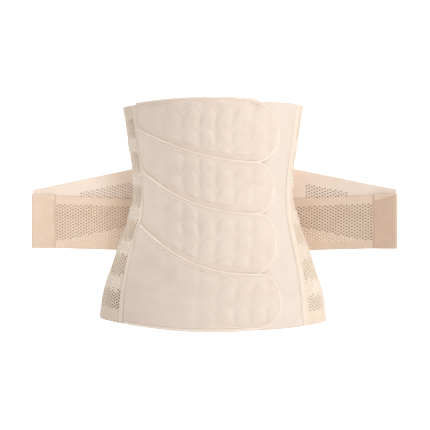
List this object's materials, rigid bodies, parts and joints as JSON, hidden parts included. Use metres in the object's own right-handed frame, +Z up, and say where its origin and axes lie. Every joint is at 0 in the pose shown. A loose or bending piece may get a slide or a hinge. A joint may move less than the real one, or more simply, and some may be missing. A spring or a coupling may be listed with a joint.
{
  "type": "abdominal binder",
  "caption": "Wrap-around waist and belly binder of knit cloth, closed in front by overlapping quilted flaps, with paired elastic side straps held out.",
  "frame": {"origin": "middle of the waist, the narrowest level of the torso tube, where a wearer's waist carries it", "axes": "+Z up along the wearer's body, +X towards the viewer's right along the side straps, the quilted front faces -Y"},
  "size_m": [0.4898, 0.2053, 0.2943],
  "materials": {
    "knit_plain": "smooth close knit, soft matt sheen",
    "knit_mesh": "perforated jacquard knit with solid zigzag bands",
    "quilted_cloth": "padded cloth pressed into low puffs, matt",
    "binding": "narrow rolled edge binding",
    "seam_tape": "plain tape with fine ridges along it",
    "strap_elastic": "elastic webbing, net in the middle between plain borders",
    "hook_tab": "dense fine hook tape, slightly darker"
  },
  "bodies": {
    "root": {"back_panel": "knit_plain", "front_panel": "knit_plain", "side_panel_left": "knit_mesh", "side_panel_right": "knit_mesh", "flap_1": "quilted_cloth", "flap_2": "quilted_cloth", "flap_3": "quilted_cloth", "flap_4": "quilted_cloth", "flap_1_binding": "binding", "flap_2_binding": "binding", "flap_3_binding": "binding", "flap_4_binding": "binding", "left_seam_tape": "seam_tape", "right_seam_tape": "seam_tape", "level_strap_left": "strap_elastic", "level_strap_right": "strap_elastic", "slanted_strap_left": "strap_elastic", "slanted_strap_right": "strap_elastic", "hook_tab_left": "hook_tab", "hook_tab_right": "hook_tab", "back_patch": "knit_plain"}
  },
  "joints": []
}
